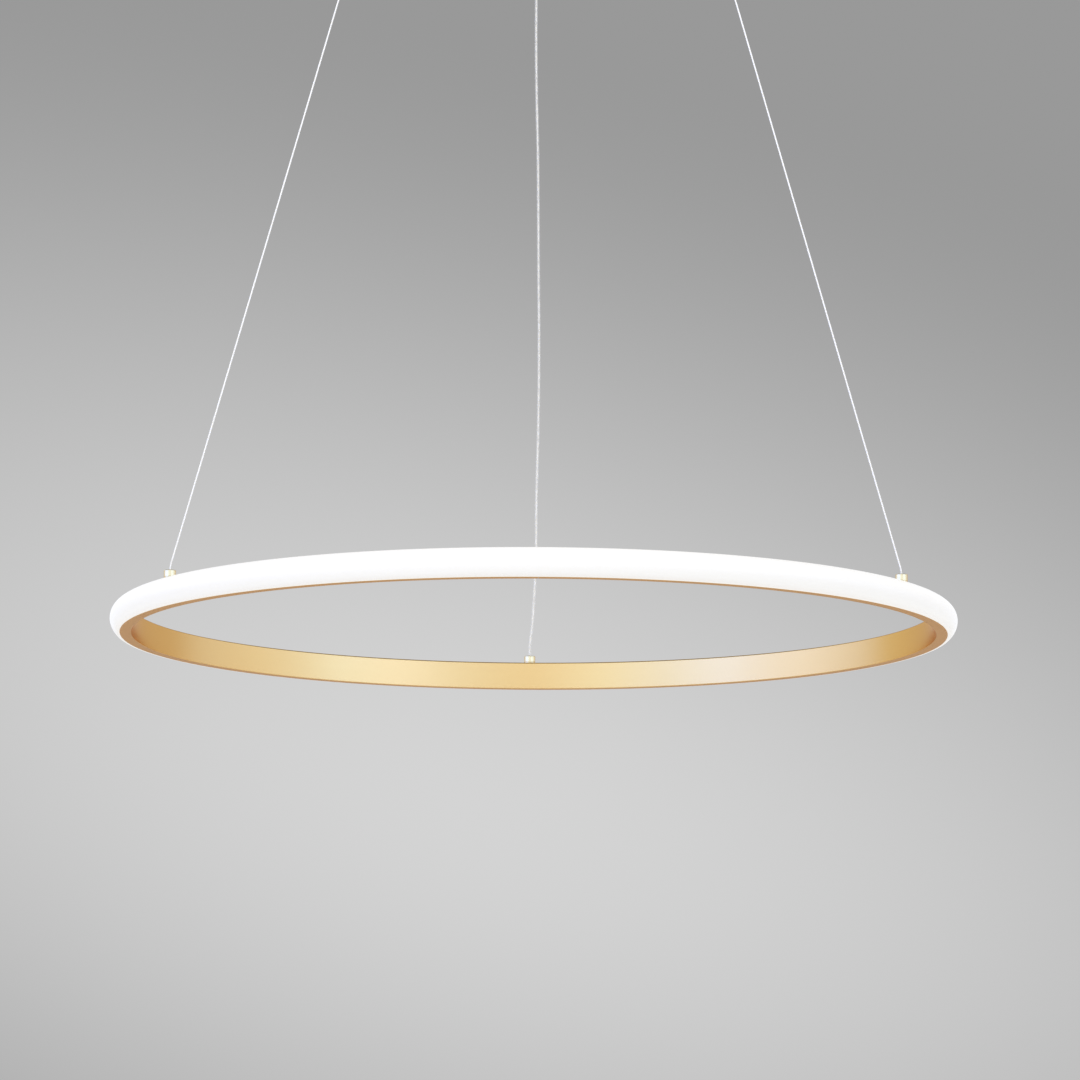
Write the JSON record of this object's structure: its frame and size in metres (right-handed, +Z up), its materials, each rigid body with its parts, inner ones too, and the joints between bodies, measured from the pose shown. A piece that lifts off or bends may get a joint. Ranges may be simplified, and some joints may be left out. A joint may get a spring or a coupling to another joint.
{
  "type": "led ring pendant",
  "caption": "Slim gold ring with a domed opal light cover on its outside, hung by two thin steel wires and a clear feed cord from a round gold ceiling cup.",
  "frame": {"origin": "middle of the ceiling bracket's top face, midway between its two fixing slots, on the ceiling", "axes": "+Z up to the ceiling, +X to the right along the bracket, +Y to the rear, where the feed cord hangs"},
  "size_m": [0.7998, 0.7998, 1.084],
  "materials": {
    "gold_aluminium": "satin gold anodising",
    "gold_sheet": "satin gold",
    "gold_metal": "polished gold plating",
    "plain_brass": "bare",
    "opal_cover": "opal, lit from inside",
    "strip_board": "white",
    "light_chip": "yellow phosphor",
    "zinc_steel": "zinc plated",
    "bright_steel": "bright",
    "hard_steel": "hardened",
    "wire_steel": "stranded",
    "black_rubber": "matte",
    "black_foam": "foam",
    "white_plastic": "fine texture",
    "ivory_plastic": "moulded",
    "clear_nylon": "translucent",
    "clear_cord": "clear jacket over tinned strands"
  },
  "bodies": {
    "canopy": {"ceiling_bracket": "zinc_steel", "entry_grommet": "black_rubber", "earth_screw": "plain_brass", "earth_washer": "bright_steel", "terminal_block": "ivory_plastic", "terminal_screws": "plain_brass", "ceiling_cup": "gold_sheet", "cup_screws": "gold_metal", "driver_pads": "black_foam", "driver_case": "white_plastic", "driver_cover_left": "white_plastic", "driver_cover_right": "white_plastic", "gripper_body_left": "gold_metal", "gripper_body_right": "gold_metal", "gripper_spring_left": "bright_steel", "gripper_spring_right": "bright_steel", "gripper_plug_left": "plain_brass", "gripper_plug_right": "plain_brass", "lock_nut_left": "bright_steel", "lock_nut_right": "bright_steel", "lock_nut_rear": "bright_steel", "wire_tail_left": "wire_steel", "wire_tail_right": "wire_steel", "suspension_wire_left": "wire_steel", "suspension_wire_right": "wire_steel", "cord_grip_body": "gold_metal", "cord_grip_bush": "clear_nylon", "cord_grip_screw": "gold_metal", "feed_tail": "clear_cord", "feed_cord": "clear_cord"},
    "plunger_left": {"gripper_plunger_left": "gold_metal", "gripper_jaws_left": "hard_steel"},
    "plunger_right": {"gripper_plunger_right": "gold_metal", "gripper_jaws_right": "hard_steel"},
    "ring": {"ring_channel": "gold_aluminium", "ring_diffuser": "opal_cover", "led_strip": "strip_board", "led_chips": "light_chip", "joiner_plates": "bright_steel", "joiner_screws": "bright_steel", "ring_socket_left": "gold_metal", "ring_socket_right": "gold_metal", "ring_socket_rear": "gold_metal", "socket_stud_left": "bright_steel", "socket_stud_right": "bright_steel", "socket_stud_rear": "bright_steel", "wire_stop_left": "plain_brass", "wire_stop_right": "plain_brass", "feed_stop": "clear_nylon"}
  },
  "joints": [
    {"name": "ring_raise", "type": "slide", "parent": "canopy", "child": "ring", "axis": [0, 0, 1], "range_m": [0, 0.6], "deforming": ["suspension_wire_left", "suspension_wire_right", "feed_cord"]},
    {"name": "plunger_press_left", "type": "slide", "parent": "canopy", "child": "plunger_left", "axis": [0, 0, 1], "range_m": [0, 0.0025], "stiffness_N_per_m": 200, "springref_m": -0.005, "deforming": ["gripper_spring_left"]},
    {"name": "plunger_press_right", "type": "slide", "parent": "canopy", "child": "plunger_right", "axis": [0, 0, 1], "range_m": [0, 0.0025], "stiffness_N_per_m": 200, "springref_m": -0.005, "deforming": ["gripper_spring_right"]}
  ]
}
